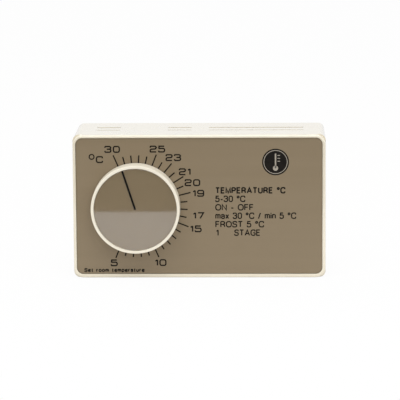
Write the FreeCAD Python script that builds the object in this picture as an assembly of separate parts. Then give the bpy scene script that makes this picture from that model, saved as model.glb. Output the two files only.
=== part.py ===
import FreeCAD, Part
import math
import os

# An electronic room thermostat for a wall: a flat ivory case with a metal front plate and one large
# temperature knob. X runs to the right, Z up, and the dial faces -Y. The wall is the plane y = 0, and
# every "depth" below is a distance out from it. All sizes are in millimetres, angles in degrees.
V = FreeCAD.Vector
OUT = V(0, -1, 0)

# ---- driving dimensions: case ----
case_w = 130.0
case_h = 74.5
case_d = 44.0
body_r = 3.3
frame_r = 5.0
frame_t = 2.2
wall = 2.0
edge_r = 1.0
bezel = 1.5
bezel_low = 2.0
bezel_right = 1.65
skin = 2.4
wall_gap = 0.4
fit_gap = 0.3

# ---- front plate ----
plate_t = 1.2
plate_sunk = 0.4
plate_gap = 0.15

# ---- base plate ----
base_t = 2.5
rim_t = 1.6
rim_inside_r = 0.6
rim_h = 8.0
box_x = 12.0
screw_spacing = 60.0
slot_l = 8.0
slot_r = 2.1
cable_r = 8.0
cable_z = -18.0

# ---- circuit board ----
board_d = 12.0
board_t = 1.6
board_margin = 3.0
board_hole_inset = 5.0
post_r = 3.0
m3_r = 1.5
m3_clear_r = 1.7
m3_pilot_r = 1.3
m25_r = 1.25
window_w = 34.0
window_top = -8.0
access_r = 4.5

# ---- knob and its scale ----
knob_inset = 32.44
knob_r = 22.85
knob_draft = 0.05
knob_edge_r = 0.35
knob_proud = 10.0
knob_lift = 0.7
knob_wall = 1.45
knob_front_t = 2.0
dish_d = 1.2
dial_t = 0.4
window_t = 0.6
dial_gap = 0.12
pointer_w = 1.0
pointer_t = 0.2
pointer_reach = 21.0
hub_r = 5.0
shaft_r = 3.0
shaft_gap = 0.05
shaft_flat = 1.4
warm_end = 30.0
cold_end = 5.0
degrees_per_kelvin = 9.0
warm_angle = -22.5
rest_setting = 29.5

# ---- travel stop ----
lug_in_r = 14.0
lug_out_r = 17.0
lug_width = 20.0
stop_slack = 0.5
stop_proud = 3.0
lug_clear = 1.4

# ---- cover screw, hidden behind the knob ----
cover_screw_z = -14.5
boss_r = 4.0
screw_head_r = 3.2
screw_head_t = 1.9

# ---- vents through the top and bottom walls ----
vent_inset = 11.2
short_vent = 12.4
long_vent = 49.2
vent_bridge = 8.9
vent_rows = ((15.9, 18.1), (25.4, 26.8))
vent_end_r = 0.8

# ---- potentiometer ----
pot_r = 8.5
pot_h = 9.0
pot_wall = 0.6
bush_r = 3.9
bush_l = 8.0
pot_pin_pitch = 5.0

# ---- terminal block ----
ways = 6
pitch = 5.08
term_w = 11.0
term_h = 11.5
cage = 3.6
wire_hole = 2.6

# ---- transformer ----
trafo_inset = 10.6
trafo_l = 32.5
trafo_w = 25.2
trafo_h = 22.0
core_t = 10.0

# ---- relay ----
relay_inset = 1.6
relay_l = 24.0
relay_w = 12.0
relay_h = 15.5
relay_wall = 0.7
relay_base_t = 2.5
armature_l = 10.6
armature_t = 1.0
pole_gap = 0.6

# ---- small parts on the board ----
can_inset = 5.2
can_r = 4.0
can_h = 12.0
film_inset = 7.1
film_l = 18.0
film_w = 7.2
film_h = 13.0
fuse_inset = 6.1
fuse_l = 20.0
fuse_r = 2.6
fuse_seat = 1.4
resistor_l = 6.3
resistor_r = 1.2
diode_l = 5.2
diode_r = 1.35
part_gap = 1.4

board_front = board_d + board_t
front_inside = case_d - plate_sunk - plate_t - skin
plate_front = case_d - plate_sunk
knob_front = plate_front + knob_proud
knob_back = plate_front + knob_lift
dish_floor = knob_front - dish_d
knob_underside = dish_floor - knob_front_t
travel = (warm_end - cold_end) * degrees_per_kelvin
rest_angle = warm_angle + degrees_per_kelvin * (warm_end - rest_setting)
inside_w = case_w - 2 * wall
inside_h = case_h - 2 * wall
base_w = inside_w - 2 * fit_gap
base_h = inside_h - 2 * fit_gap
base_r = body_r - wall - fit_gap
knob_x = knob_inset - case_w / 2
board_w = base_w - 2 * rim_t - 2 * board_margin
board_h = base_h - 2 * rim_t - 2 * fit_gap
board_holes = [
    (sx * (board_w / 2 - board_hole_inset), sz * (board_h / 2 - board_hole_inset))
    for sx in (-1, 1)
    for sz in (-1, 1)
]
wall_screws = [box_x - screw_spacing / 2, box_x + screw_spacing / 2]
vent_ends = (vent_inset - case_w / 2, case_w / 2 - vent_inset)
long_start = vent_ends[1] - long_vent
vent_spans = [
    (vent_ends[0], vent_ends[0] + short_vent),
    (long_start - vent_bridge - short_vent, long_start - vent_bridge),
    (long_start, vent_ends[1]),
]
term_z = (window_top + 0.5, window_top + 0.5 + term_w)
trafo_x = (board_w / 2 - trafo_inset - trafo_l, board_w / 2 - trafo_inset)
trafo_z = (board_h / 2 - 2.4 - trafo_w, board_h / 2 - 2.4)
relay_x = (relay_inset - board_w / 2, relay_inset - board_w / 2 + relay_l)
relay_low = pot_r + part_gap
relay_z = (relay_low, relay_low + relay_w)


def block(x, z, depth):
    """A block from its spans across, up and out from the wall."""
    return Part.makeBox(x[1] - x[0], depth[1] - depth[0], z[1] - z[0], V(x[0], -depth[1], z[0]))


def rod(radius, depth, x=0.0, z=0.0):
    """A cylinder square to the wall."""
    return Part.makeCylinder(radius, depth[1] - depth[0], V(x, -depth[0], z), OUT)


def tube(radius, bore, depth, x=0.0, z=0.0):
    return rod(radius, depth, x, z).cut(rod(bore, depth, x, z))


def runs_out(edge):
    """True for a straight edge square to the wall."""
    return len(edge.Vertexes) == 2 and abs(edge.tangentAt(edge.FirstParameter).y) > 0.999


def slab(width, height, radius, depth, x=0.0, z=0.0):
    """A rectangle with round corners, extruded out from the wall."""
    body = block((x - width / 2, x + width / 2), (z - height / 2, z + height / 2), depth)
    return body.makeFillet(radius, [e for e in body.Edges if runs_out(e)])


def rounded_at(body, depth, radius):
    """The body with every edge that lies wholly at one depth rounded."""
    edges = [e for e in body.Edges if abs(e.BoundBox.YMin + depth) < 1e-6 and abs(e.BoundBox.YMax + depth) < 1e-6]
    return body.makeFillet(radius, edges)


def slot(length, radius, depth, x, z):
    """An obround cutter, long across."""
    half = length / 2 - radius
    ends = [rod(radius, depth, x - half, z), rod(radius, depth, x + half, z)]
    return ends[0].fuse([ends[1], block((x - half, x + half), (z - radius, z + radius), depth)])


def turned(profile, x=0.0, z=0.0):
    """A body of revolution about an axis square to the wall, from (radius, depth) points."""
    points = [V(x + r, -d, z) for r, d in profile]
    body = Part.Face(Part.makePolygon(points + points[:1])).revolve(V(x, 0, z), V(0, 1, 0), 360)
    return Part.Solid(body) if body.Volume > 0 else Part.Solid(body.reversed())


def sector(inner, outer, centre, width, depth):
    """A block bent round the knob's axis; its angles run clockwise from the top."""
    ring = Part.makeCylinder(outer, depth[1] - depth[0], V(0, 0, 0), V(0, 0, 1), width)
    ring = ring.cut(Part.makeCylinder(inner, depth[1] - depth[0], V(0, 0, 0), V(0, 0, 1), width))
    ring.rotate(V(0, 0, 0), V(0, 0, 1), 90 - centre - width / 2)
    ring.rotate(V(0, 0, 0), V(1, 0, 0), 90)
    ring.translate(V(knob_x, -depth[0], 0))
    return ring


def set_to_rest(shape):
    """Turns a knob piece, drawn with its pointer upright, to the rest setting."""
    shape.rotate(V(knob_x, 0, 0), OUT, -rest_angle)
    return shape


def cross_recess(radius, depth, top, x, z):
    """The cutter for a cross-head screw."""
    arm = radius * 0.6
    thin = radius * 0.13
    span = (top - depth, top + 1)
    across = block((x - arm, x + arm), (z - thin, z + thin), span)
    return across.fuse(block((x - thin, x + thin), (z - arm, z + arm), span))


def pan_screw(x, z, seat, length, head_r=2.8, head_t=2.0):
    """A pan-head screw whose head sits at the seat's depth and whose shank runs to the wall side."""
    head = rounded_at(rod(head_r, (seat, seat + head_t), x, z), seat + head_t, head_t * 0.4)
    shank = turned(
        [(0, seat), (m3_r, seat), (m3_r, seat - length + 1), (0.4, seat - length), (0, seat - length)], x, z
    )
    return head.fuse(shank).cut(cross_recess(head_r, head_t * 0.6, seat + head_t, x, z)).removeSplitter()


# ---- case ----


def cover():
    frame = slab(case_w, case_h, frame_r, (case_d - frame_t, case_d))
    body = slab(case_w, case_h, body_r, (wall_gap, case_d - frame_t))
    body = body.fuse(rounded_at(frame, case_d, edge_r))
    body = body.cut(slab(inside_w, inside_h, body_r - wall, (wall_gap - 1, front_inside)))
    floor = case_d - plate_sunk - plate_t
    body = body.cut(plate_shape(0.0, (floor, case_d + 1)))
    body = body.fuse(travel_stop(0.0, floor - 0.5))
    for rib in hook_spans():
        body = body.fuse(hook(rib, 0.0))
    through = (front_inside - 1, case_d + 1)
    holes = [rod(hub_r - 1.0, through, knob_x), rod(m3_clear_r, through, knob_x, cover_screw_z)]
    holes.append(rod(screw_head_r + 0.3, (floor - screw_head_t + plate_t, case_d), knob_x, cover_screw_z))
    return body.cut(holes + vent_cutters()).removeSplitter()


def hook_spans():
    """The heights at which the cover hooks into the base's right rim."""
    middle = case_h / 4
    half = 4.0
    return [(-middle - half, -middle + half), (middle - half, middle + half)]


def hook(span, gap):
    """A ledge inside the cover's right wall that reaches through a window in the base's rim."""
    reach = fit_gap + rim_t * 0.75 + gap
    return block(
        (inside_w / 2 - reach, inside_w / 2 + (0.5 if gap == 0 else 1.0)),
        (span[0] - gap, span[1] + gap),
        (base_t + 1.2 - gap, base_t + 3.2 + gap),
    )


def travel_stop(gap, back):
    """The arc that stands up through the front plate and meets the knob's lug at both ends."""
    width = 360 - travel - lug_width - 2 * stop_slack
    spread = math.degrees(gap / lug_in_r)
    centre = warm_angle + travel / 2
    return sector(lug_in_r - gap, lug_out_r + gap, centre, width + 2 * spread, (back, plate_front + stop_proud))


def vent_cutters():
    cutters = []
    for low, high in vent_spans:
        for back, front in vent_rows:
            for side in (-1, 1):
                bottom = side * case_h / 2 - wall - 1 if side > 0 else -case_h / 2 - 1
                slit = block((low, high), (bottom, bottom + wall + 2), (back, front))
                corners = [e for e in slit.Edges if abs(e.tangentAt(e.FirstParameter).z) > 0.999]
                cutters.append(slit.makeFillet(min(vent_end_r, 0.45 * (front - back)), corners))
    return cutters


def plate_shape(gap, depth):
    """The front plate's outline, drawn in by a gap all round."""
    width = case_w - bezel - bezel_right - 2 * gap
    height = case_h - bezel - bezel_low - 2 * gap
    x = (bezel - bezel_right) / 2
    z = (bezel_low - bezel) / 2
    return slab(width, height, frame_r - bezel - gap, depth, x, z)


def front_plate():
    body = rounded_at(plate_shape(plate_gap, (plate_front - plate_t, plate_front)), plate_front, 0.15)
    holes = [
        rod(hub_r + 1.5, (plate_front - plate_t - 1, plate_front + 1), knob_x),
        rod(screw_head_r + 0.3, (plate_front - plate_t - 1, plate_front + 1), knob_x, cover_screw_z),
        travel_stop(0.2, plate_front - plate_t - 1),
    ]
    return body.cut(holes)


def cover_screw():
    seat = plate_front - screw_head_t
    return pan_screw(knob_x, cover_screw_z, seat, 14.0, screw_head_r, screw_head_t - 0.2)


def base_plate():
    body = slab(base_w, base_h, base_r, (0, rim_h))
    hollow = slab(base_w - 2 * rim_t, base_h - 2 * rim_t, rim_inside_r, (base_t, rim_h + 1))
    body = body.cut(hollow)
    for x, z in board_holes:
        body = body.fuse(rod(post_r, (base_t / 2, board_d), x, z))
    body = body.fuse(rod(boss_r, (base_t / 2, front_inside), knob_x, cover_screw_z))
    cutters = [rod(m3_pilot_r, (board_d - 8, board_d + 1), x, z) for x, z in board_holes]
    cutters.append(rod(m3_pilot_r, (front_inside - 16, front_inside), knob_x, cover_screw_z))
    cutters += [slot(slot_l, slot_r, (-1, base_t + 1), x, 0.0) for x in wall_screws]
    cutters.append(rod(cable_r, (-1, base_t + 1), box_x, cable_z))
    cutters += [hook(span, 0.2) for span in hook_spans()]
    return body.cut(cutters).removeSplitter()


# ---- circuit board and what is soldered to it ----


def circuit_board():
    depth = (board_d, board_front)
    through = (board_d - 1, board_front + 1)
    body = slab(board_w, board_h, 2.0, depth)
    cutters = [rod(m3_clear_r, through, x, z) for x, z in board_holes]
    cutters += [rod(access_r, through, x, 0.0) for x in wall_screws]
    cutters.append(rod(boss_r + 0.5, through, knob_x, cover_screw_z))
    opening = (box_x - window_w / 2, box_x + window_w / 2)
    cutters.append(block(opening, (-board_h / 2 - 1, window_top), through))
    return body.cut(cutters)


def board_screws():
    return Part.makeCompound([pan_screw(x, z, board_front, 8.0) for x, z in board_holes])


def way_centres():
    return [box_x + pitch * (i - (ways - 1) / 2) for i in range(ways)]


def terminal_block():
    half = ways * pitch / 2 + 0.5
    body = block((box_x - half, box_x + half), term_z, (board_front, board_front + term_h))
    cutters = []
    for x in way_centres():
        room = cage / 2 + 0.1
        cutters.append(block((x - room, x + room), (term_z[0] - 1, term_z[0] + 7.5), cage_depth()))
        cutters.append(rod(1.9, (board_front + 2, board_front + term_h + 1), x, screw_line()))
    return body.cut(cutters).removeSplitter()


def cage_depth():
    return (board_front + 2.2, board_front + 2.2 + cage + 0.8)


def screw_line():
    return term_z[0] + 4.6


def terminal_clamps():
    clamps = []
    low, high = cage_depth()
    for x in way_centres():
        shell = block((x - cage / 2, x + cage / 2), (screw_line() - 2, screw_line() + 2), (low, high))
        hole = block((x - wire_hole / 2, x + wire_hole / 2), (screw_line() - 3, screw_line() + 3), (low + 0.6, high - 1.1))
        tapped = rod(m25_r, (high - 2, high + 1), x, screw_line())
        clamps.append(shell.cut([hole, tapped]))
    return Part.makeCompound(clamps)


def terminal_screws():
    screws = []
    high = cage_depth()[1]
    top = board_front + term_h - 0.8
    for x in way_centres():
        screw = rod(m25_r, (high - 1.6, high + 1.2), x, screw_line())
        screw = screw.fuse(rod(1.75, (high + 1.2, top), x, screw_line()))
        groove = block((x - 2, x + 2), (screw_line() - 0.3, screw_line() + 0.3), (top - 0.9, top + 1))
        screws.append(screw.cut(groove).removeSplitter())
    return Part.makeCompound(screws)


def transformer_core():
    middle = (trafo_z[0] + trafo_z[1]) / 2
    depth = (board_front + 1.0, board_front + trafo_h)
    body = block(trafo_x, (middle - core_t / 2, middle + core_t / 2), depth)
    leg = (trafo_x[1] - trafo_x[0]) / 6
    for start in (trafo_x[0] + leg, trafo_x[0] + 4 * leg):
        gap = (start, start + leg)
        body = body.cut(block(gap, (middle - core_t, middle + core_t), (depth[0] + leg, depth[1] - leg)))
    return body


def transformer_coil():
    """The bobbin and its winding, round the core's middle leg, with four solder pins' feet."""
    leg = (trafo_x[1] - trafo_x[0]) / 6
    middle_x = (trafo_x[0] + trafo_x[1]) / 2
    middle_z = (trafo_z[0] + trafo_z[1]) / 2
    gap = 0.2
    tall = (board_front + 1.0 + leg + gap, board_front + trafo_h - leg - gap)
    wide = (middle_x - 2 * leg + gap, middle_x + 2 * leg - gap)
    body = block(wide, (trafo_z[0], trafo_z[1]), tall)
    body = body.makeFillet(1.5, [e for e in body.Edges if runs_out(e)])
    core = block(
        (middle_x - leg - gap / 4, middle_x + leg + gap / 4),
        (middle_z - core_t / 2, middle_z + core_t / 2),
        (tall[0] - 1, tall[1] + 1),
    )
    feet = []
    for x in (wide[0] + 2, wide[1] - 2):
        for z in (trafo_z[0] + 2, trafo_z[1] - 2):
            feet.append(block((x - 1, x + 1), (z - 1, z + 1), (board_front, tall[0] + 1)))
    return body.cut(core).fuse(feet).removeSplitter()


def pot_housing():
    low = board_front + 0.3
    body = rounded_at(rod(pot_r, (low, low + pot_h), knob_x), low + pot_h, 0.5)
    body = body.cut(rod(pot_r - pot_wall, (low - 1, low + pot_h - pot_wall), knob_x))
    return body.cut(rod(shaft_r + 0.4, (low, low + pot_h + 1), knob_x))


def pot_top():
    return board_front + 0.3 + pot_h


def pot_bushing():
    flange = tube(bush_r + 1.6, shaft_r + shaft_gap, (pot_top(), pot_top() + 1.0), knob_x)
    barrel = tube(bush_r, shaft_r + shaft_gap, (pot_top(), pot_top() + bush_l), knob_x)
    return flange.fuse(barrel).removeSplitter()


def pot_track():
    """The wafer that carries the resistive ring, with its three solder tags."""
    low = board_front + 0.3
    body = rod(pot_r - pot_wall - 0.1, (low, low + 1.4), knob_x)
    groove = tube(6.6, 4.6, (low + 1.2, low + 2), knob_x)
    body = body.cut(groove)
    for i in (-1, 0, 1):
        x = knob_x + i * pot_pin_pitch
        body = body.fuse(block((x - 0.6, x + 0.6), (-pot_r + 3.9, -pot_r + 5.1), (board_front, low + 0.5)))
    return body.removeSplitter()


def relay_frame():
    """The relay's own origin: left end, middle height and board surface."""
    return relay_x[0], (relay_z[0] + relay_z[1]) / 2, board_front


def relay_base():
    return block(
        (relay_x[0] + relay_wall, relay_x[1] - relay_wall),
        (relay_z[0] + relay_wall, relay_z[1] - relay_wall),
        (board_front, board_front + relay_base_t),
    )


def relay_cover():
    outer = block(relay_x, relay_z, (board_front + 0.4, board_front + relay_h))
    edges = [e for e in outer.Edges if e.BoundBox.YMin < -board_front - 1]
    outer = outer.makeFillet(0.6, edges)
    inner = block(
        (relay_x[0] + relay_wall, relay_x[1] - relay_wall),
        (relay_z[0] + relay_wall, relay_z[1] - relay_wall),
        (board_front, board_front + relay_h - relay_wall),
    )
    return outer.cut(inner)


# Along the relay, from its left end, and out from the board.
coil_span = (3.4, 14.2)
coil_axis = 8.6
coil_flange_r = 4.0
coil_r = 3.4
pole_r = 1.5
yoke_t = 1.0
yoke_top = 14.2


def along(radius, span, height):
    """A cylinder that lies along the relay, in the relay's own measures."""
    x, z, d = relay_frame()
    return Part.makeCylinder(radius, span[1] - span[0], V(x + span[0], -d - height, z), V(1, 0, 0))


def relay_block(span, half_width, height):
    x, z, d = relay_frame()
    return block((x + span[0], x + span[1]), (z - half_width, z + half_width), (d + height[0], d + height[1]))


def relay_coil():
    body = along(coil_r, coil_span, coil_axis)
    body = body.fuse(along(coil_flange_r, (coil_span[0], coil_span[0] + 0.9), coil_axis))
    body = body.fuse(along(coil_flange_r, (coil_span[1] - 0.9, coil_span[1]), coil_axis))
    return body.cut(along(pole_r, (coil_span[0] - 1, coil_span[1] + 1), coil_axis)).removeSplitter()


def armature_face():
    """Where the armature's pole side stands when the coil is off."""
    return coil_span[1] + 0.8 + pole_gap


def relay_yoke():
    """The core, the upright behind it and the arm that carries the armature's pivot."""
    pole = along(pole_r, (coil_span[0] - 0.5, coil_span[1] + 0.8), coil_axis)
    back = (coil_span[0] - 0.1 - yoke_t, coil_span[0] - 0.1)
    upright = relay_block(back, 3.6, (relay_base_t, yoke_top))
    arm = relay_block((back[0], armature_face() - 0.3), 3.6, (yoke_top - yoke_t, yoke_top))
    return pole.fuse([upright, arm]).removeSplitter()


def relay_armature():
    face = armature_face()
    low = yoke_top - armature_l - 0.4
    plate = relay_block((face, face + armature_t), 3.4, (low, yoke_top - 0.2))
    contact = along(0.8, (face - 0.3, face), low + 1.0)
    return plate.fuse(contact).removeSplitter()


def relay_contact():
    """The fixed contact: a post on the base with a silver button facing the armature."""
    face = armature_face()
    low = yoke_top - armature_l - 0.4
    post = relay_block((face - 2.2, face - 1.35), 1.6, (relay_base_t, coil_axis - coil_flange_r - 0.1))
    button = along(0.7, (face - 1.35, face - 1.2), low + 0.9)
    return post.fuse(button).removeSplitter()


def trimmer_place():
    return -board_w / 2 + 9.0, -14.0


def trimmer_body():
    x, z = trimmer_place()
    body = slab(7.0, 7.0, 0.5, (board_front, board_front + 3.6), x, z)
    return body.cut(rod(2.6, (board_front + 1.6, board_front + 4), x, z))


def trimmer_rotor():
    x, z = trimmer_place()
    body = rod(2.3, (board_front + 1.9, board_front + 4.2), x, z)
    return body.cut(cross_recess(2.6, 0.9, board_front + 4.2, x, z))


def sensor_place():
    low, high = vent_spans[0]
    return (low + high) / 2 + 2, -board_h / 2 + 1.5


def sensor_leads():
    x, z = sensor_place()
    return Part.makeCompound([rod(0.3, (board_front, board_front + 11), x + dx, z) for dx in (-0.8, 0.8)])


def sensor_bead():
    x, z = sensor_place()
    body = Part.makeSphere(2.0, V(x, -board_front - 10.5, z))
    return body.cut([rod(0.3, (board_front, board_front + 11), x + dx, z) for dx in (-0.8, 0.8)])


def can_capacitors():
    """Two electrolytic cans with a rolled groove near the foot."""
    cans = []
    x = board_w / 2 - can_inset
    top = board_front + can_h
    for i in range(2):
        z = can_r + part_gap + i * (2 * can_r + part_gap)
        can = rounded_at(rod(can_r, (board_front, top), x, z), top, 0.6)
        cans.append(can.cut(tube(can_r + 1, can_r - 0.3, (board_front + 1.8, board_front + 2.6), x, z)))
    return Part.makeCompound(cans)


def film_capacitor():
    x = board_w / 2 - film_inset
    z = -access_r - part_gap
    body = block((x - film_l, x), (z - film_w, z), (board_front, board_front + film_h))
    return body.makeFillet(0.8, [e for e in body.Edges if e.BoundBox.YMin < -board_front - 1])


def fuse_line():
    """The fuse's two ends and the height it lies at."""
    right = board_w / 2 - fuse_inset
    return (right - fuse_l, right), -access_r - 2 * part_gap - film_w - fuse_r - 0.4


def lying_rod(radius, x, z, depth):
    return Part.makeCylinder(radius, x[1] - x[0], V(x[0], -depth, z), V(1, 0, 0))


def fuse_link():
    fuse_x, fuse_z = fuse_line()
    depth = board_front + fuse_r + fuse_seat
    body = lying_rod(fuse_r - 0.2, fuse_x, fuse_z, depth)
    for end in ((fuse_x[0], fuse_x[0] + 5), (fuse_x[1] - 5, fuse_x[1])):
        body = body.fuse(lying_rod(fuse_r, end, fuse_z, depth))
    return body.removeSplitter()


def fuse_clips():
    clips = []
    fuse_x, fuse_z = fuse_line()
    depth = board_front + fuse_r + fuse_seat
    for start in (fuse_x[0] + 0.8, fuse_x[1] - 4.2):
        span = (start, start + 3.4)
        ring = lying_rod(fuse_r + 0.4, span, fuse_z, depth).cut(lying_rod(fuse_r, span, fuse_z, depth))
        foot = block(span, (fuse_z - 1.6, fuse_z + 1.6), (board_front, depth - fuse_r))
        mouth = block(span, (fuse_z - 2.0, fuse_z + 2.0), (depth + 1.0, depth + 5))
        clips.append(ring.fuse(foot.cut(lying_rod(fuse_r, span, fuse_z, depth))).cut(mouth).removeSplitter())
    return Part.makeCompound(clips)


def axial(x, z, length, radius):
    """A two-lead part that lies across the board on its bent leads."""
    depth = board_front + radius + 0.4
    body = lying_rod(radius, (x - length / 2, x + length / 2), z, depth)
    reach = length / 2 + 1.5
    wire = lying_rod(0.3, (x - reach, x + reach), z, depth)
    ends = [rod(0.3, (board_front, depth), x - reach, z), rod(0.3, (board_front, depth), x + reach, z)]
    caps = [Part.makeSphere(0.3, V(x - reach, -depth, z)), Part.makeSphere(0.3, V(x + reach, -depth, z))]
    return body.fuse([wire] + ends + caps).removeSplitter()


def resistors():
    x = knob_x + pot_r + part_gap + resistor_l
    rows = [relay_z[0] + i * (2 * resistor_r + 1.2) for i in range(5)] + [6.8 - board_h / 2]
    return Part.makeCompound([axial(x, z, resistor_l, resistor_r) for z in rows])


def rectifier_diodes():
    x = trafo_x[0] - diode_l - part_gap - 2.5
    rows = [relay_z[0] + i * (2 * diode_r + 1.5) for i in range(4)]
    return Part.makeCompound([axial(x, z, diode_l, diode_r) for z in rows])


def control_chip():
    left = knob_x + boss_r + 7.0
    middle = cover_screw_z
    body = block((left, left + 10.0), (middle - 3.2, middle + 3.2), (board_front + 0.8, board_front + 4.2))
    body = body.cut(rod(0.8, (board_front + 4.0, board_front + 5), left + 1.4, middle))
    for i in range(4):
        x = left + 1.2 + 2.54 * i
        for side in (-1, 1):
            edge = middle + side * 3.2
            leg = block((x - 0.5, x + 0.5), sorted((edge, edge + side * 0.7)), (board_front, board_front + 2.4))
            body = body.fuse(leg)
    return body.removeSplitter()


# ---- knob ----


def knob_body():
    outer = turned(
        [
            (0, knob_underside),
            (knob_r - knob_wall, knob_underside),
            (knob_r - knob_wall, knob_back),
            (knob_r, knob_back),
            (knob_r - knob_draft, knob_front),
            (0, knob_front),
        ],
        knob_x,
    )
    outer = rounded_at(outer, knob_front, knob_edge_r)
    body = outer.cut(rod(dish_r(), (dish_floor, knob_front + 1), knob_x))
    body = body.fuse(rod(hub_r, (knob_back + 0.4, knob_underside + 0.5), knob_x))
    body = body.fuse(sector(lug_in_r, lug_out_r, 180.0, lug_width, (plate_front + lug_clear, knob_underside + 0.5)))
    bore = d_section(shaft_r, (knob_back - 1, shaft_tip() + 0.2))
    return set_to_rest(body.cut(bore).removeSplitter())


def dish_r():
    return knob_r - knob_draft - knob_wall


def d_section(radius, depth):
    """A round bar with one flat."""
    flat = block((knob_x - radius - 1, knob_x + radius + 1), (shaft_r - shaft_flat, radius + 1), depth)
    return rod(radius, depth, knob_x).cut(flat)


def shaft_tip():
    return dish_floor - 1.0


def knob_dial():
    return rod(dish_r() - dial_gap, (dish_floor, dish_floor + dial_t), knob_x)


def pointer_block(gap):
    low = dish_floor + dial_t
    half = pointer_w / 2 + gap
    return block((knob_x - half, knob_x + half), (-gap, pointer_reach + gap), (low, low + pointer_t + gap))


def knob_pointer():
    return set_to_rest(pointer_block(0.0))


def knob_window():
    low = dish_floor + dial_t
    body = rod(dish_r() - dial_gap, (low, low + window_t), knob_x)
    body = rounded_at(body, low + window_t, 0.15)
    return set_to_rest(body.cut(pointer_block(0.05)))


def knob_clip():
    """An open spring ring that closes the hub on the shaft."""
    middle = (knob_back + knob_underside) / 2
    return set_to_rest(sector(hub_r, hub_r + 0.6, 0.0, 310.0, (middle - 0.9, middle + 0.9)))


def pot_shaft():
    low = board_front + 3.0
    plain = rod(shaft_r, (low, knob_back), knob_x)
    return set_to_rest(plain.fuse(d_section(shaft_r, (knob_back - 0.5, shaft_tip()))).removeSplitter())


def pot_wiper():
    """The disc on the shaft's inner end, with the sprung finger that runs on the track."""
    low = board_front + 3.4
    body = tube(6.9, shaft_r, (low, low + 1.2), knob_x)
    finger = block((knob_x - 0.8, knob_x + 0.8), (4.9, 6.3), (low - 1.4, low + 0.5))
    return set_to_rest(body.fuse(finger).removeSplitter())


NODES = {
    "base_plate": base_plate,
    "cover": cover,
    "front_plate": front_plate,
    "cover_screw": cover_screw,
    "circuit_board": circuit_board,
    "board_screws": board_screws,
    "terminal_block": terminal_block,
    "terminal_clamps": terminal_clamps,
    "terminal_screws": terminal_screws,
    "transformer_core": transformer_core,
    "transformer_coil": transformer_coil,
    "pot_housing": pot_housing,
    "pot_bushing": pot_bushing,
    "pot_track": pot_track,
    "relay_base": relay_base,
    "relay_cover": relay_cover,
    "relay_coil": relay_coil,
    "relay_yoke": relay_yoke,
    "relay_contact": relay_contact,
    "trimmer_body": trimmer_body,
    "sensor_leads": sensor_leads,
    "sensor_bead": sensor_bead,
    "can_capacitors": can_capacitors,
    "film_capacitor": film_capacitor,
    "fuse_link": fuse_link,
    "fuse_clips": fuse_clips,
    "resistors": resistors,
    "rectifier_diodes": rectifier_diodes,
    "control_chip": control_chip,
    "relay_armature": relay_armature,
    "trimmer_rotor": trimmer_rotor,
    "knob_body": knob_body,
    "knob_dial": knob_dial,
    "knob_pointer": knob_pointer,
    "knob_window": knob_window,
    "knob_clip": knob_clip,
    "pot_shaft": pot_shaft,
    "pot_wiper": pot_wiper,
}

os.makedirs("parts", exist_ok=True)
for name, make in NODES.items():
    shape = make()
    shape.exportStep(f"parts/{name}.step")
    print(name, len(shape.Solids), "solids, valid", shape.isValid(), "volume", round(shape.Volume, 1))
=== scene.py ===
"""A wall thermostat's looks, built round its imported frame: finishes, printing, light and camera. Metres."""

import math

import bmesh
import bpy
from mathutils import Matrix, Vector


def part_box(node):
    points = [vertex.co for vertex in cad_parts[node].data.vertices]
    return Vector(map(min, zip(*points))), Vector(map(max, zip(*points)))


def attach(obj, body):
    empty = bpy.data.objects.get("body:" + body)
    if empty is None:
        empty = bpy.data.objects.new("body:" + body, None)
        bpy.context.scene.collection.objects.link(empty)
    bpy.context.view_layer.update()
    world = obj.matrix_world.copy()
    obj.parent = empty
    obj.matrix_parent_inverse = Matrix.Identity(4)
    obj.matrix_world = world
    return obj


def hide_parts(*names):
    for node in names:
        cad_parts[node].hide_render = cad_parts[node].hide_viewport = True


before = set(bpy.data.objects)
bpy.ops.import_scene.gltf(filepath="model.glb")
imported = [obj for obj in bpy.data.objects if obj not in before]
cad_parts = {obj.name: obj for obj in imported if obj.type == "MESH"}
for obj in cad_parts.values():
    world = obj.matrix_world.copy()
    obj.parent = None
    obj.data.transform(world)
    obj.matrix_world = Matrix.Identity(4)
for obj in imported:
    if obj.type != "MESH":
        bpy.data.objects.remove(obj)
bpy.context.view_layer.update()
MM = 0.001

# ---- places read from the frame ----
case_low, case_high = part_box("cover")
middle_x = (case_low[0] + case_high[0]) / 2
middle_z = (case_low[2] + case_high[2]) / 2
ground_z = case_low[2]
knob_low, knob_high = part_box("knob_body")
dial_x = (knob_low[0] + knob_high[0]) / 2
dial_z = (knob_low[2] + knob_high[2]) / 2
plate_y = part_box("front_plate")[0][1]


# ---- materials ----

# Noise keeps mostly between these two values.
NOISE_LOW = 0.3
NOISE_HIGH = 0.7
TONES_LOW = 0.35
TONES_HIGH = 0.65
FINE_DETAIL = 2.0
COAT_ROUGHNESS = 0.08
COAT_IOR = 1.8
# How fast a clear wall's mirror share grows towards a grazing view.
SLANT_POWER = 5.0
WEAR_DETAIL = 4.0


def tree_of(name):
    """A fresh node material and its shader node."""
    material = bpy.data.materials.new(name)
    material.use_nodes = True
    nodes = material.node_tree.nodes
    return material, nodes, material.node_tree.links, nodes["Principled BSDF"]


def noise(nodes, links, scale, detail, stretch=(1.0, 1.0, 1.0)):
    """Noise in the piece's own metres, so that its grain has a real size."""
    place = nodes.new("ShaderNodeTexCoord")
    spread = nodes.new("ShaderNodeMapping")
    spread.inputs["Scale"].default_value = stretch
    grain = nodes.new("ShaderNodeTexNoise")
    grain.inputs["Scale"].default_value = scale
    grain.inputs["Detail"].default_value = detail
    links.new(place.outputs["Object"], spread.inputs["Vector"])
    links.new(spread.outputs["Vector"], grain.inputs["Vector"])
    return grain.outputs["Fac"]


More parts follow.
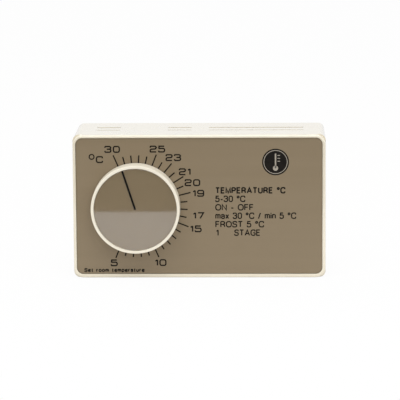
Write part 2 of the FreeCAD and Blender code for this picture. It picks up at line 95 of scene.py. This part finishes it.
def blend_of(nodes, links, factor, dark, light):
    """A colour ramp between two near tones."""
    ramp = nodes.new("ShaderNodeValToRGB")
    first, last = ramp.color_ramp.elements
    first.position = TONES_LOW
    last.position = TONES_HIGH
    first.color = (*dark, 1.0)
    last.color = (*light, 1.0)
    links.new(factor, ramp.inputs["Fac"])
    return ramp.outputs["Color"]


def varied(nodes, links, factor, limits):
    """A value that wanders between two limits."""
    spread = nodes.new("ShaderNodeMapRange")
    spread.inputs["From Min"].default_value = NOISE_LOW
    spread.inputs["From Max"].default_value = NOISE_HIGH
    spread.inputs["To Min"].default_value = limits[0]
    spread.inputs["To Max"].default_value = limits[1]
    links.new(factor, spread.inputs["Value"])
    return spread.outputs["Result"]


def bumped(nodes, links, shader, factor, depth):
    """A bump of a real depth in metres on the shader's normal."""
    bump = nodes.new("ShaderNodeBump")
    bump.inputs["Strength"].default_value = 1.0
    bump.inputs["Distance"].default_value = depth
    links.new(factor, bump.inputs["Height"])
    links.new(bump.outputs["Normal"], shader.inputs["Normal"])


def surface(name, dark, light, roughness, metallic=0.0, grain=(60.0, 3.0), fine=(3000.0, 0.00001),
            stretch=(1.0, 1.0, 1.0), shine=0.5, coat=0.0):
    """A moulded, painted or metal finish. The grain, as (scale, detail), moves its colour between two
    tones and its roughness between two limits, and fine, as (scale, depth), is its bump."""
    material, nodes, links, shader = tree_of(name)
    shader.inputs["Metallic"].default_value = metallic
    shader.inputs["Specular IOR Level"].default_value = shine
    shader.inputs["Coat Weight"].default_value = coat
    shader.inputs["Coat Roughness"].default_value = COAT_ROUGHNESS
    shader.inputs["Coat IOR"].default_value = COAT_IOR
    mottle = noise(nodes, links, *grain, stretch)
    links.new(blend_of(nodes, links, mottle, dark, light), shader.inputs["Base Color"])
    links.new(varied(nodes, links, mottle, roughness), shader.inputs["Roughness"])
    scale, depth = fine
    bumped(nodes, links, shader, noise(nodes, links, scale, FINE_DETAIL, stretch), depth)
    return material


def clear_wall(name, tint, straight, grazing, roughness, scuffs):
    """Clear plastic: a mirror that lets light straight through but for a share, which grows at a slant."""
    material, nodes, links, shader = tree_of(name)
    shader.inputs["Base Color"].default_value = (*tint, 1.0)
    shader.inputs["Metallic"].default_value = 1.0
    slant = nodes.new("ShaderNodeLayerWeight")
    slant.inputs["Blend"].default_value = 0.5
    steep = nodes.new("ShaderNodeMath")
    steep.operation = "POWER"
    steep.inputs[1].default_value = SLANT_POWER
    share = nodes.new("ShaderNodeMapRange")
    share.inputs["To Min"].default_value = straight
    share.inputs["To Max"].default_value = grazing
    links.new(slant.outputs["Facing"], steep.inputs[0])
    links.new(steep.outputs["Value"], share.inputs["Value"])
    links.new(share.outputs["Result"], shader.inputs["Alpha"])
    wear = noise(nodes, links, scuffs, WEAR_DETAIL)
    links.new(varied(nodes, links, wear, roughness), shader.inputs["Roughness"])
    return material


IVORY = surface("ivory_plastic", (0.79, 0.72, 0.57), (0.815, 0.745, 0.595), (0.18, 0.26),
                fine=(2200.0, 0.000004), coat=1.0)
KNOB = surface("ivory_knob", (0.83, 0.77, 0.635), (0.85, 0.79, 0.66), (0.42, 0.5),
               fine=(2200.0, 0.000008))
BACK = surface("back_plastic", (0.70, 0.65, 0.54), (0.74, 0.69, 0.58), (0.5, 0.6),
               fine=(1500.0, 0.00003))
PLATE = surface("bronze_plate", (0.227, 0.172, 0.103), (0.235, 0.179, 0.108), (0.34, 0.40),
                grain=(25.0, 2.0), fine=(900.0, 0.000004), stretch=(0.15, 1.0, 6.0))
DIAL = surface("dial_disc", (0.262, 0.197, 0.112), (0.270, 0.204, 0.117), (0.45, 0.5),
               grain=(40.0, 2.0), fine=(1500.0, 0.000003), shine=0.2)
INK = surface("black_ink", (0.008, 0.0065, 0.005), (0.012, 0.010, 0.008), (0.55, 0.65),
              grain=(400.0, 2.0), shine=0.1)
PALE_INK = surface("pale_ink", (0.36, 0.32, 0.26), (0.40, 0.36, 0.30), (0.5, 0.6),
                   grain=(400.0, 2.0), shine=0.2)
POINTER = surface("pointer_black", (0.004, 0.003, 0.002), (0.006, 0.005, 0.004), (0.5, 0.6),
                  grain=(300.0, 2.0), shine=0.05)
WINDOW = clear_wall("clear_window", (0.90, 0.93, 1.0), 0.074, 0.9, (0.035, 0.045), 120.0)
CLEAR = clear_wall("clear_case", (0.86, 0.88, 0.90), 0.12, 0.9, (0.08, 0.14), 300.0)
STEEL = surface("zinc_steel", (0.50, 0.50, 0.51), (0.62, 0.61, 0.58), (0.28, 0.42), metallic=1.0,
                grain=(500.0, 3.0))
CORE = surface("laminated_steel", (0.16, 0.16, 0.17), (0.26, 0.25, 0.25), (0.4, 0.55), metallic=1.0,
               grain=(900.0, 2.0), fine=(1400.0, 0.00008), stretch=(0.05, 0.05, 1.0))
BRASS = surface("brass", (0.60, 0.43, 0.17), (0.68, 0.50, 0.22), (0.25, 0.4), metallic=1.0,
                grain=(300.0, 3.0))
BOARD = surface("green_board", (0.012, 0.085, 0.030), (0.020, 0.12, 0.045), (0.3, 0.4),
                grain=(350.0, 6.0))
TERMINAL = surface("terminal_green", (0.02, 0.13, 0.07), (0.03, 0.16, 0.09), (0.35, 0.45))
TAPE = surface("coil_tape", (0.50, 0.32, 0.06), (0.60, 0.40, 0.09), (0.35, 0.5),
               grain=(250.0, 2.0), fine=(700.0, 0.00005), stretch=(0.2, 1.0, 1.0))
RELAY = surface("relay_plastic", (0.02, 0.05, 0.14), (0.03, 0.07, 0.18), (0.4, 0.5))
EPOXY = surface("black_epoxy", (0.018, 0.018, 0.018), (0.03, 0.03, 0.03), (0.45, 0.6),
                grain=(500.0, 3.0))
SLEEVE = surface("can_sleeve", (0.02, 0.03, 0.08), (0.03, 0.045, 0.11), (0.2, 0.3))
FILM = surface("film_box", (0.55, 0.40, 0.06), (0.62, 0.46, 0.09), (0.4, 0.5))
RESISTOR = surface("resistor_body", (0.42, 0.30, 0.16), (0.50, 0.37, 0.21), (0.3, 0.4),
                   grain=(600.0, 2.0))
SHAFT = surface("shaft_plastic", (0.60, 0.59, 0.55), (0.66, 0.65, 0.61), (0.35, 0.5))

FINISHES = {
    IVORY: ("cover",),
    KNOB: ("knob_body",),
    BACK: ("base_plate",),
    PLATE: ("front_plate",),
    DIAL: ("knob_dial",),
    POINTER: ("knob_pointer",),
    CLEAR: ("relay_cover", "fuse_link"),
    STEEL: ("cover_screw", "board_screws", "terminal_screws", "pot_housing", "sensor_leads", "knob_clip"),
    CORE: ("transformer_core", "relay_yoke", "relay_armature"),
    BRASS: ("terminal_clamps", "pot_bushing", "relay_contact", "fuse_clips", "pot_wiper"),
    BOARD: ("circuit_board", "pot_track"),
    TERMINAL: ("terminal_block", "trimmer_rotor"),
    TAPE: ("transformer_coil", "relay_coil"),
    RELAY: ("relay_base", "trimmer_body"),
    EPOXY: ("sensor_bead", "rectifier_diodes", "control_chip"),
    SLEEVE: ("can_capacitors",),
    FILM: ("film_capacitor",),
    RESISTOR: ("resistors",),
    SHAFT: ("pot_shaft",),
}


def finish_nodes():
    """Each CAD node's finish. The knob's window is a piece of its own."""
    for finish, names in FINISHES.items():
        for name in names:
            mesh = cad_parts[name].data
            mesh.materials.clear()
            mesh.materials.append(finish)


# ---- printing: flat shapes on the plate, drawn as (across, up) in metres ----

INK_HEIGHT = 0.03 * MM
BEND_STEPS = 6


def bend(corner, before, after, radius):
    """The points of an arc that rounds a corner, given the ways to its neighbours."""
    half = before.angle(after) / 2
    cut = min(radius / math.tan(half), before.length / 2, after.length / 2)
    before = before.normalized()
    after = after.normalized()
    middle = corner + (before + after).normalized() * cut / math.cos(half)
    start = corner + before * cut - middle
    end = corner + after * cut - middle
    sweep = start.angle_signed(end)
    for k in range(BEND_STEPS + 1):
        turned = -sweep * k / BEND_STEPS
        yield middle + Vector((
            start.x * math.cos(turned) - start.y * math.sin(turned),
            start.x * math.sin(turned) + start.y * math.cos(turned),
        ))


def rounded(points, radius, closed):
    """The polyline with each inner corner replaced by an arc."""
    count = len(points)
    path = []
    for i, corner in enumerate(points):
        if closed or 0 < i < count - 1:
            path += bend(corner, points[i - 1] - corner, points[(i + 1) % count] - corner, radius)
        else:
            path.append(corner)
    return path


def ring_path(radius, centre, steps):
    return [
        centre + radius * Vector((math.cos(math.tau * k / steps), math.sin(math.tau * k / steps)))
        for k in range(steps)
    ]


def add_band(mesh, path, width, closed=False):
    """A band of even width along a path, mitred at its turns."""
    count = len(path)
    sides = []
    for i, point in enumerate(path):
        ahead = path[(i + 1) % count] - point if closed or i < count - 1 else point - path[i - 1]
        behind = point - path[i - 1] if closed or i > 0 else ahead
        square = Vector((-ahead.y, ahead.x)).normalized()
        across = (square + Vector((-behind.y, behind.x)).normalized()).normalized()
        # A mitre reaches at most twice as far as the band's edge.
        offset = across * width / 2 / max(0.5, across.dot(square))
        sides.append([mesh.verts.new((p.x, 0.0, p.y)) for p in (point + offset, point - offset)])
    for i in range(count if closed else count - 1):
        near, far = sides[i], sides[(i + 1) % count]
        mesh.faces.new((near[0], near[1], far[1], far[0]))


def add_patch(mesh, path):
    mesh.faces.new([mesh.verts.new((p.x, 0.0, p.y)) for p in path])


def print_piece(name, mesh, finish, lift=0.0):
    """A printed layer: its flat shapes, given a thickness and laid on the plate."""
    bmesh.ops.recalc_face_normals(mesh, faces=mesh.faces)
    flat = bpy.data.meshes.new(name)
    mesh.to_mesh(flat)
    mesh.free()
    for face in flat.polygons:
        if face.normal.y > 0:
            face.flip()
    flat.materials.append(finish)
    piece = bpy.data.objects.new(name, flat)
    bpy.context.scene.collection.objects.link(piece)
    piece.location = (0.0, plate_y - lift, 0.0)
    thick = piece.modifiers.new("thickness", "SOLIDIFY")
    thick.thickness = INK_HEIGHT
    thick.offset = 1.0
    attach(piece, "case")


# A glyph is its width and its strokes, in units of its height. A stroke is its corners and how
# round they are, and one that ends where it starts is closed.
WIDE = {
    "0": (1.0, (((0, 0), (1, 0), (1, 1), (0, 1), (0, 0)), 0.3)),
    "1": (0.35, (((0.35, 0), (0.35, 1)), 0), (((0.35, 0.98), (0, 0.76)), 0)),
    "2": (1.0, (((0, 0.74), (0, 1), (1, 1), (1, 0.53), (0, 0.47), (0, 0)), 0.26), (((0, 0), (1, 0)), 0)),
    "3": (1.0, (((0, 0.78), (0, 1), (0.96, 1), (0.96, 0.53), (0.3, 0.53)), 0.24),
          (((0.3, 0.53), (1, 0.53), (1, 0), (0, 0), (0, 0.24)), 0.26)),
    "5": (1.0, (((0.95, 1), (0.07, 1), (0.03, 0.55)), 0),
          (((0.03, 0.61), (1, 0.61), (1, 0), (0, 0), (0, 0.24)), 0.26)),
    "7": (0.94, (((0, 1), (0.94, 1), (0.36, 0)), 0)),
    "9": (1.0, (((1, 0.43), (0, 0.43), (0, 1), (1, 1), (1, 0), (0.02, 0), (0.02, 0.18)), 0.27)),
    "C": (1.0, (((1, 0.72), (1, 1), (0, 1), (0, 0), (1, 0), (1, 0.28)), 0.3)),
}
PLAIN = {
    " ": (0.28,),
    "-": (0.34, (((0, 0.36), (0.34, 0.36)), 0)),
    "/": (0.34, (((0, -0.04), (0.34, 1.04)), 0)),
    "°": (0.3, (((0, 0.68), (0.3, 0.68), (0.3, 1), (0, 1), (0, 0.68)), 0.15)),
    "0": (0.56, (((0, 0), (0.56, 0), (0.56, 1), (0, 1), (0, 0)), 0.28)),
    "1": (0.3, (((0.3, 0), (0.3, 1)), 0), (((0.3, 0.97), (0, 0.76)), 0)),
    "3": (0.56, (((0, 0.76), (0, 1), (0.54, 1), (0.54, 0.54), (0.2, 0.54)), 0.23),
          (((0.2, 0.54), (0.56, 0.54), (0.56, 0), (0, 0), (0, 0.26)), 0.26)),
    "5": (0.56, (((0.52, 1), (0.08, 1), (0.02, 0.5)), 0),
          (((0.02, 0.52), (0.12, 0.64), (0.56, 0.64), (0.56, 0), (0, 0), (0, 0.26)), 0.26)),
    "A": (0.76, (((0, 0), (0.38, 1), (0.76, 0)), 0), (((0.13, 0.33), (0.63, 0.33)), 0)),
    "C": (0.7, (((0.7, 0.7), (0.7, 1), (0, 1), (0, 0), (0.7, 0), (0.7, 0.3)), 0.35)),
    "E": (0.56, (((0.56, 1), (0, 1), (0, 0), (0.56, 0)), 0), (((0, 0.53), (0.5, 0.53)), 0)),
    "F": (0.54, (((0.54, 1), (0, 1), (0, 0)), 0), (((0, 0.52), (0.46, 0.52)), 0)),
    "G": (0.72, (((0.7, 0.72), (0.7, 1), (0, 1), (0, 0), (0.72, 0), (0.72, 0.48), (0.4, 0.48)), 0.35)),
    "M": (0.76, (((0, 0), (0, 1), (0.38, 0), (0.76, 1), (0.76, 0)), 0)),
    "N": (0.64, (((0, 0), (0, 1), (0.64, 0), (0.64, 1)), 0)),
    "O": (0.78, (((0, 0), (0.78, 0), (0.78, 1), (0, 1), (0, 0)), 0.39)),
    "P": (0.6, (((0, 0), (0, 1)), 0), (((0, 1), (0.6, 1), (0.6, 0.46), (0, 0.46)), 0.27)),
    "R": (0.64, (((0, 0), (0, 1)), 0), (((0, 1), (0.6, 1), (0.6, 0.48), (0, 0.48)), 0.26),
          (((0.34, 0.48), (0.56, 0.34), (0.62, 0)), 0.12)),
    "S": (0.62, (((0.6, 0.74), (0.6, 1), (0.02, 1), (0.02, 0.54), (0.62, 0.48), (0.62, 0), (0, 0),
                  (0, 0.27)), 0.25)),
    "T": (0.66, (((0, 1), (0.66, 1)), 0), (((0.33, 1), (0.33, 0)), 0)),
    "U": (0.64, (((0, 1), (0, 0), (0.64, 0), (0.64, 1)), 0.3)),
    "a": (0.46, (((0, 0.54), (0, 0.72), (0.46, 0.72), (0.46, 0)), 0.2),
          (((0.46, 0.42), (0, 0.42), (0, 0), (0.46, 0)), 0.2)),
    "e": (0.5, (((0, 0.37), (0.5, 0.37), (0.5, 0.72), (0, 0.72), (0, 0), (0.5, 0), (0.5, 0.17)), 0.24)),
    "i": (0.0, (((0, 0), (0, 0.72)), 0), (((0, 0.88), (0, 1.04)), 0)),
    "m": (0.72, (((0, 0), (0, 0.72)), 0), (((0, 0.5), (0, 0.72), (0.36, 0.72), (0.36, 0)), 0.17),
          (((0.36, 0.5), (0.36, 0.72), (0.72, 0.72), (0.72, 0)), 0.17)),
    "n": (0.46, (((0, 0), (0, 0.72)), 0), (((0, 0.48), (0, 0.72), (0.46, 0.72), (0.46, 0)), 0.2)),
    "o": (0.52, (((0, 0), (0.52, 0), (0.52, 0.72), (0, 0.72), (0, 0)), 0.26)),
    "p": (0.5, (((0, -0.28), (0, 0.72)), 0), (((0, 0), (0.5, 0), (0.5, 0.72), (0, 0.72), (0, 0)), 0.25)),
    "r": (0.28, (((0, 0), (0, 0.72)), 0), (((0, 0.46), (0, 0.72), (0.28, 0.72)), 0.2)),
    "t": (0.3, (((0.12, 0.96), (0.12, 0), (0.3, 0)), 0.12), (((0, 0.72), (0.3, 0.72)), 0)),
    "u": (0.46, (((0, 0.72), (0, 0), (0.46, 0)), 0.2), (((0.46, 0), (0.46, 0.72)), 0)),
    "x": (0.46, (((0, 0), (0.46, 0.72)), 0), (((0, 0.72), (0.46, 0)), 0)),
}


def add_glyph(mesh, glyph, left, low, height, stroke, widen):
    """Strokes of one glyph: its ink's left and low corner, full height and stroke width."""
    tall = height - stroke
    for corners, turn in glyph[1:]:
        closed = corners[0] == corners[-1]
        path = [
            Vector((left + stroke / 2 + x * tall * widen, low + stroke / 2 + z * tall))
            for x, z in (corners[:-1] if closed else corners)
        ]
        if turn:
            path = rounded(path, turn * tall, closed)
        add_band(mesh, path, stroke, closed)


# ---- the dial's scale: clockwise from the top, hottest first ----
WARM, COLD = 30, 5
WARM_ANGLE = -22.5
DEGREES_PER_KELVIN = 9.0
TICK_FROM = 22.0 * MM
SHORT_TICK = 26.6 * MM
LONG_TICK = 29.0 * MM
TICK_WIDTH = 0.66 * MM
LONG_TICKS = (30, 25, 23, 21, 19, 15, 10, 5)
# The printed scale is turned a touch against the clock, and sits a little high.
SCALE_TURN = -0.9
SCALE_UP = 0.12 * MM


def dial_scale():
    mesh = bmesh.new()
    centre = Vector((dial_x, dial_z + SCALE_UP))
    for setting in range(COLD, WARM + 1):
        angle = math.radians(WARM_ANGLE + SCALE_TURN + DEGREES_PER_KELVIN * (WARM - setting))
        way = Vector((math.sin(angle), math.cos(angle)))
        reach = LONG_TICK if setting in LONG_TICKS else SHORT_TICK
        add_band(mesh, [centre + way * TICK_FROM, centre + way * reach], TICK_WIDTH)
    print_piece("dial_scale", mesh, INK)


# ---- the dial's figures, and the unit at its upper left ----
FIGURE_HEIGHT = 3.65 * MM
FIGURE_WIDEN = 1.02
FIGURE_STROKE = 0.70 * MM
FIGURE_GAP = 0.62 * MM
# The figures' common centre, from the dial's.
FIGURES_SHIFT = Vector((-0.3, 0.15)) * MM
# Where each figure stands from there, across and up, in mm.
FIGURE_PLACES = {
    30: (-11.7, 29.7),
    25: (11.55, 29.8),
    23: (19.7, 25.35),
    21: (25.5, 18.0),
    20: (29.4, 12.3),
    19: (32.4, 6.75),
    17: (32.4, -4.9),
    15: (31.0, -11.8),
    10: (12.7, -29.5),
    5: (-11.3, -29.6),
}
UNIT_RING = (-22.3, 25.8)
UNIT_RING_R = 1.25 * MM
UNIT_RING_STROKE = 0.595 * MM
UNIT_RING_STEPS = 24
UNIT_LETTER = (-18.3, 24.4)


def add_number(mesh, text, centre):
    """A number of wide figures, centred on (across, up)."""
    tall = FIGURE_HEIGHT - FIGURE_STROKE
    widths = [WIDE[g][0] * tall * FIGURE_WIDEN + FIGURE_STROKE for g in text]
    left = centre.x - (sum(widths) + FIGURE_GAP * (len(text) - 1)) / 2
    low = centre.y - FIGURE_HEIGHT / 2
    for g, width in zip(text, widths):
        add_glyph(mesh, WIDE[g], left, low, FIGURE_HEIGHT, FIGURE_STROKE, FIGURE_WIDEN)
        left += width + FIGURE_GAP


def dial_figures():
    mesh = bmesh.new()
    centre = Vector((dial_x, dial_z)) + FIGURES_SHIFT
    for setting, place in FIGURE_PLACES.items():
        add_number(mesh, str(setting), centre + Vector(place) * MM)
    ring = ring_path(UNIT_RING_R, centre + Vector(UNIT_RING) * MM, UNIT_RING_STEPS)
    add_band(mesh, ring, UNIT_RING_STROKE, True)
    add_number(mesh, "C", centre + Vector(UNIT_LETTER) * MM)
    print_piece("dial_figures", mesh, INK)


# ---- a plain round badge with a thermometer on it ----
BADGE_ACROSS = 39.25 * MM
BADGE_UP = 23.1 * MM
BADGE_RADIUS = 6.9 * MM
BADGE_LINE = 6.0 * MM
BADGE_LINE_WIDTH = 0.32 * MM
BADGE_STEPS = 64
BULB_DOWN = 3.2 * MM
BULB_RADIUS = 1.35 * MM
BULB_STEPS = 24
STEM_TOP = 4.4 * MM
STEM_WIDTH = 0.75 * MM
MARKS = 3
MARK_LEFT = 1.0 * MM
MARK_TOP = 3.4 * MM
MARK_PITCH = 1.5 * MM
MARK_LENGTH = 1.3 * MM
MARK_WIDTH = 0.36 * MM


def badge():
    centre = Vector((middle_x + BADGE_ACROSS, middle_z + BADGE_UP))
    mesh = bmesh.new()
    add_patch(mesh, ring_path(BADGE_RADIUS, centre, BADGE_STEPS))
    print_piece("badge_disc", mesh, INK)
    mesh = bmesh.new()
    add_band(mesh, ring_path(BADGE_LINE, centre, BADGE_STEPS), BADGE_LINE_WIDTH, True)
    bulb = centre - Vector((0.0, BULB_DOWN))
    add_patch(mesh, ring_path(BULB_RADIUS, bulb, BULB_STEPS))
    add_band(mesh, [bulb, centre + Vector((0.0, STEM_TOP))], STEM_WIDTH)
    for k in range(MARKS):
        mark = centre + Vector((MARK_LEFT, MARK_TOP - MARK_PITCH * k))
        add_band(mesh, [mark, mark + Vector((MARK_LENGTH, 0.0))], MARK_WIDTH)
    print_piece("badge_marks", mesh, PALE_INK, INK_HEIGHT)


# ---- plain generic lines at the right, and a small one below the dial ----
LINES_TOP = 10.1 * MM
LINE_PITCH = 4.42 * MM
LINE_HEIGHT = 3.4 * MM
LINE_STROKE = 0.60 * MM
BOLD_STROKE = 0.72 * MM
FOOT_TOP = -32.2 * MM
FOOT_HEIGHT = 2.1 * MM
FOOT_STROKE = 0.50 * MM
LETTER_GAP = 0.22 * MM
# Text, row, and how far its left and right ends are from the case's middle, in mm.
LINES = (
    ("TEMPERATURE °C", 0, 8.2, 44.3),
    ("5-30 °C", 1, 8.2, 23.7),
    ("ON - OFF", 2, 8.2, 28.0),
    ("max 30 °C / min 5 °C", 3, 8.2, 49.8),
    ("FROST 5 °C", 4, 8.2, 33.3),
    ("1", 5, 8.5, 9.9),
    ("STAGE", 5, 17.9, 31.4),
)
FOOT = ("Set room temperature", -59.7, -28.5)


def printed_line(name, text, left, right, top, height, stroke):
    """One line of plain letters, as wide as fills the room between its left and right."""
    mesh = bmesh.new()
    tall = height - stroke
    count = len(text)
    room = (right - left) * MM - count * stroke - (count - 1) * LETTER_GAP
    widen = room / (tall * sum(PLAIN[g][0] for g in text))
    across = middle_x + left * MM
    for g in text:
        add_glyph(mesh, PLAIN[g], across, middle_z + top - height, height, stroke, widen)
        across += PLAIN[g][0] * tall * widen + stroke + LETTER_GAP
    print_piece(name, mesh, INK)


def printed_lines():
    for number, (text, row, left, right) in enumerate(LINES):
        stroke = LINE_STROKE if row else BOLD_STROKE
        top = LINES_TOP - LINE_PITCH * row
        printed_line(f"print_line_{number}", text, left, right, top, LINE_HEIGHT, stroke)
    printed_line(f"print_line_{len(LINES)}", *FOOT, FOOT_TOP, FOOT_HEIGHT, FOOT_STROKE)


# ---- the dial's clear window: one turned disc over the pointer, its front edge rounded ----
WINDOW_EDGE = 0.3 * MM
WINDOW_GAP = 0.05 * MM
EDGE_STEPS = 6
TURNED_STEPS = 192
SHARP_ANGLE = math.radians(40)


def turned_mesh(name, profile):
    """A lathed shape about the dial's axis, from (radius, y) points that start and end on the axis."""
    mesh = bmesh.new()
    rings = []
    for radius, y in profile:
        turns = (math.tau * k / TURNED_STEPS for k in range(TURNED_STEPS if radius else 1))
        rings.append([
            mesh.verts.new((dial_x + radius * math.cos(t), y, dial_z + radius * math.sin(t)))
            for t in turns
        ])
    for inner, outer in zip(rings, rings[1:]):
        for k in range(TURNED_STEPS):
            ahead = (k + 1) % TURNED_STEPS
            near = [inner[k % len(inner)], outer[k % len(outer)]]
            far = [outer[ahead % len(outer)], inner[ahead % len(inner)]]
            mesh.faces.new(list(dict.fromkeys(near + far)))
    bmesh.ops.recalc_face_normals(mesh, faces=mesh.faces)
    shape = bpy.data.meshes.new(name)
    mesh.to_mesh(shape)
    mesh.free()
    shape.shade_smooth()
    shape.set_sharp_from_angle(angle=SHARP_ANGLE)
    return shape


def dial_window():
    low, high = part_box("knob_window")
    radius = (high[0] - low[0]) / 2
    front = low[1]
    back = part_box("knob_pointer")[0][1] - WINDOW_GAP
    profile = [(0.0, back), (radius, back)]
    for k in range(EDGE_STEPS + 1):
        turned = math.pi / 2 * k / EDGE_STEPS
        inset = WINDOW_EDGE * (1 - math.cos(turned))
        profile.append((radius - inset, front + WINDOW_EDGE * (1 - math.sin(turned))))
    # A ring just inside the edge keeps the face within it flat when it is shaded smooth.
    profile += [(radius - 2 * WINDOW_EDGE, front), (0.0, front)]
    shape = turned_mesh("dial_window", profile)
    shape.materials.append(WINDOW)
    piece = bpy.data.objects.new("dial_window", shape)
    bpy.context.scene.collection.objects.link(piece)
    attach(piece, "knob")
    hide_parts("knob_window")


# ---- the stage: a white ground that ends in front of the thermostat, and a darker room past it ----
GROUND_EDGE = -0.2587
FLOOR_REACH = 3.0
FLOOR_ROUGHNESS = 0.9
GROUND_TONE = 0.82
ROOM_TONE = 0.05
# How white each is to the camera and in gloss and glass, where 1 is white.
GROUND_SEEN = 0.94
GROUND_MIRRORED = 0.3
ROOM_SEEN = 1.0
ROOM_MIRRORED = 0.0
SKY_SEEN = 1.0
SKY_MIRRORED = 0.2
SKY_LIGHT = 0.84


def maths(nodes, links, operation, one, other):
    """A math node's result: its first input is linked, and its second is linked or a number."""
    node = nodes.new("ShaderNodeMath")
    node.operation = operation
    links.new(one, node.inputs[0])
    if isinstance(other, float):
        node.inputs[1].default_value = other
    else:
        links.new(other, node.inputs[1])
    return node.outputs["Value"]


def whitened(nodes, links, plain, white, seen, mirrored, output):
    """Mixes a white into a plain shader: by one share for the camera, by another for gloss and glass."""
    rays = nodes.new("ShaderNodeLightPath").outputs
    bounced = maths(nodes, links, "MAXIMUM", rays["Is Glossy Ray"], rays["Is Transmission Ray"])
    to_camera = maths(nodes, links, "MULTIPLY", rays["Is Camera Ray"], seen)
    to_mirrors = maths(nodes, links, "MULTIPLY", bounced, mirrored)
    both = nodes.new("ShaderNodeMixShader")
    links.new(maths(nodes, links, "MAXIMUM", to_camera, to_mirrors), both.inputs["Fac"])
    links.new(plain, both.inputs[1])
    links.new(white, both.inputs[2])
    links.new(both.outputs["Shader"], output.inputs["Surface"])


def floor(name, front, back, tone, seen, mirrored):
    flat = bpy.data.meshes.new(name)
    corners = ((-FLOOR_REACH, front), (FLOOR_REACH, front), (FLOOR_REACH, back), (-FLOOR_REACH, back))
    flat.from_pydata([(x, y, ground_z) for x, y in corners], [], [(0, 1, 2, 3)])
    material, nodes, links, shader = tree_of(name)
    shader.inputs["Base Color"].default_value = (tone, tone, tone, 1.0)
    shader.inputs["Roughness"].default_value = FLOOR_ROUGHNESS
    shader.inputs["Specular IOR Level"].default_value = 0.0
    white = nodes.new("ShaderNodeEmission").outputs["Emission"]
    output = nodes["Material Output"]
    whitened(nodes, links, shader.outputs["BSDF"], white, seen, mirrored, output)
    flat.materials.append(material)
    piece = bpy.data.objects.new(name, flat)
    bpy.context.scene.collection.objects.link(piece)


def sky():
    """White to the camera, nearly so in gloss and glass, and a plain soft light to everything else."""
    world = bpy.data.worlds.new("sky")
    bpy.context.scene.world = world
    world.use_nodes = True
    nodes, links = world.node_tree.nodes, world.node_tree.links
    light = nodes["Background"]
    white = nodes.new("ShaderNodeBackground")
    for background, strength in ((light, SKY_LIGHT), (white, 1.0)):
        background.inputs["Color"].default_value = (1.0, 1.0, 1.0, 1.0)
        background.inputs["Strength"].default_value = strength
    output = nodes["World Output"]
    plain, seen_white = light.outputs["Background"], white.outputs["Background"]
    whitened(nodes, links, plain, seen_white, SKY_SEEN, SKY_MIRRORED, output)


# ---- lamps: a large one above the front, and a smaller one farther in front ----
LAMPS_AIM = Vector((0.0, -0.03, 0.0))
KEY_PLACE = (0.0, -0.65, 1.3)
KEY_SIZE = (1.5, 1.0)
KEY_POWER = 9.0
FILL_PLACE = (0.3, -1.5, 0.5)
FILL_SIZE = (1.4, 0.7)
FILL_POWER = 3.0


def lamp(name, place, size, power):
    data = bpy.data.lights.new(name, "AREA")
    data.shape = "RECTANGLE"
    data.size, data.size_y = size
    data.energy = power
    light = bpy.data.objects.new(name, data)
    light.location = place
    light.rotation_euler = (LAMPS_AIM - Vector(place)).to_track_quat("-Z", "Y").to_euler()
    bpy.context.scene.collection.objects.link(light)


# ---- camera: above and a little right of the case's middle, with a long lens ----
AIM = Vector((-0.78, 0.0, -4.09)) * MM
DISTANCE = 1438.0 * MM
HEIGHT_ANGLE = math.radians(9.75)
SIDE_ANGLE = math.radians(1.53)
ROLL = math.radians(-0.36)
LENS = 243.9
SENSOR = 36.0
CLIP_START = 0.05
CLIP_END = 20.0


def camera():
    data = bpy.data.cameras.new("camera")
    data.lens = LENS
    data.sensor_width = SENSOR
    data.clip_start = CLIP_START
    data.clip_end = CLIP_END
    view = bpy.data.objects.new("camera", data)
    back = Vector((
        math.sin(SIDE_ANGLE) * math.cos(HEIGHT_ANGLE),
        -math.cos(SIDE_ANGLE) * math.cos(HEIGHT_ANGLE),
        math.sin(HEIGHT_ANGLE),
    ))
    view.location = AIM + back * DISTANCE
    turn = (-back).to_track_quat("-Z", "Y").to_matrix()
    right, up = turn.col[0].copy(), turn.col[1].copy()
    turn.col[0] = right * math.cos(ROLL) + up * math.sin(ROLL)
    turn.col[1] = up * math.cos(ROLL) - right * math.sin(ROLL)
    view.rotation_euler = turn.to_euler()
    bpy.context.scene.collection.objects.link(view)
    bpy.context.scene.camera = view


camera()
finish_nodes()
dial_window()
dial_scale()
dial_figures()
badge()
printed_lines()
floor("ground", GROUND_EDGE, FLOOR_REACH, GROUND_TONE, GROUND_SEEN, GROUND_MIRRORED)
floor("room_floor", -FLOOR_REACH, GROUND_EDGE, ROOM_TONE, ROOM_SEEN, ROOM_MIRRORED)
sky()
lamp("key", KEY_PLACE, KEY_SIZE, KEY_POWER)
lamp("fill", FILL_PLACE, FILL_SIZE, FILL_POWER)

bpy.context.scene.view_settings.view_transform = "Standard"
